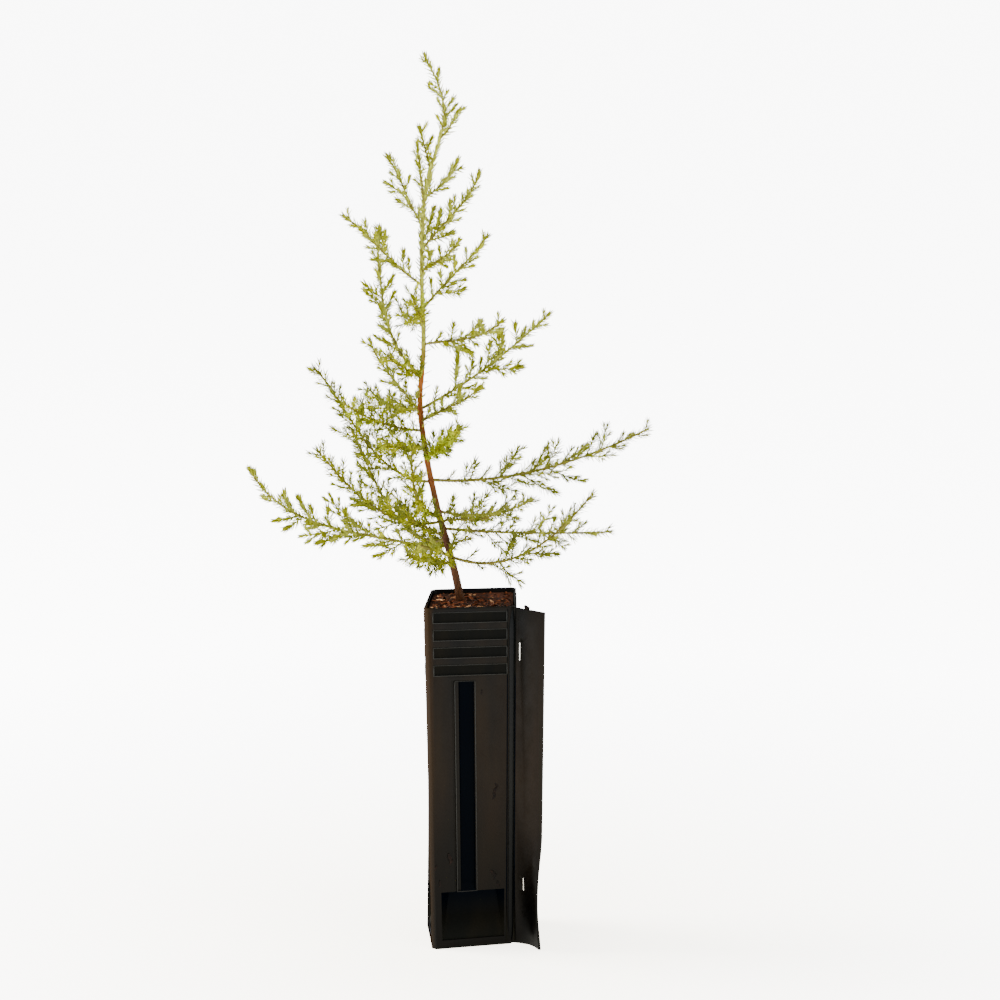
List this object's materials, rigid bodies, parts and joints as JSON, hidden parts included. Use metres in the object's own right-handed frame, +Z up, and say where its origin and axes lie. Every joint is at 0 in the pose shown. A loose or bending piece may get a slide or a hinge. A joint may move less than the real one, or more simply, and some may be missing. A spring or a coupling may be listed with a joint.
{
  "type": "arizona cypress seedling in a folded forestry pot",
  "caption": "Young conifer with a slim leaning trunk and upswept, awl-needled boughs, growing in a tall square folded forestry pot with ribbed sides and a stapled corner seam.",
  "frame": {"origin": "middle of the pot's flat underside, at floor level", "axes": "+Z up the plant; -Y out of the pot's front, with the stapled seam at the front right corner; +X to the right"},
  "size_m": [0.2225, 0.1316, 0.4985],
  "materials": {
    "pot_plastic": "black thermoformed sheet, satin",
    "peat": "damp peat and bark chips",
    "staple_steel": "bright zinc-plated wire",
    "bark": "thin orange-brown bark, yellow-green higher up",
    "young_bark": "smooth yellow-green to tan bark",
    "needles": "matte olive-green awl needles"
  },
  "bodies": {
    "root": {"pot": "pot_plastic", "substrate": "peat", "staple_upper": "staple_steel", "staple_lower": "staple_steel", "trunk": "bark", "bough_02": "young_bark", "bough_03": "young_bark", "bough_06": "young_bark", "bough_08": "young_bark", "bough_10": "young_bark", "bough_12": "young_bark", "bough_13": "young_bark", "bough_14": "young_bark", "bough_17": "young_bark", "bough_21": "young_bark", "bough_23": "young_bark", "bough_24": "young_bark", "bough_27": "young_bark", "bough_28": "young_bark", "bough_30": "young_bark", "spray_01": "needles", "spray_02": "needles", "spray_03": "needles", "spray_04": "needles", "spray_05": "needles", "spray_06": "needles", "spray_07": "needles", "spray_08": "needles", "spray_09": "needles", "spray_10": "needles", "spray_11": "needles", "spray_12": "needles", "spray_13": "needles", "spray_14": "needles", "spray_15": "needles", "spray_16": "needles", "spray_17": "needles", "spray_18": "needles", "spray_19": "needles", "spray_20": "needles", "spray_21": "needles", "spray_22": "needles", "spray_23": "needles", "spray_24": "needles", "spray_25": "needles", "spray_26": "needles", "spray_27": "needles", "spray_28": "needles", "spray_29": "needles", "spray_30": "needles", "spray_31": "needles", "spray_32": "needles", "spray_33": "needles", "spray_34": "needles", "spray_35": "needles", "spray_36": "needles", "leader_spray": "needles"}
  },
  "joints": []
}
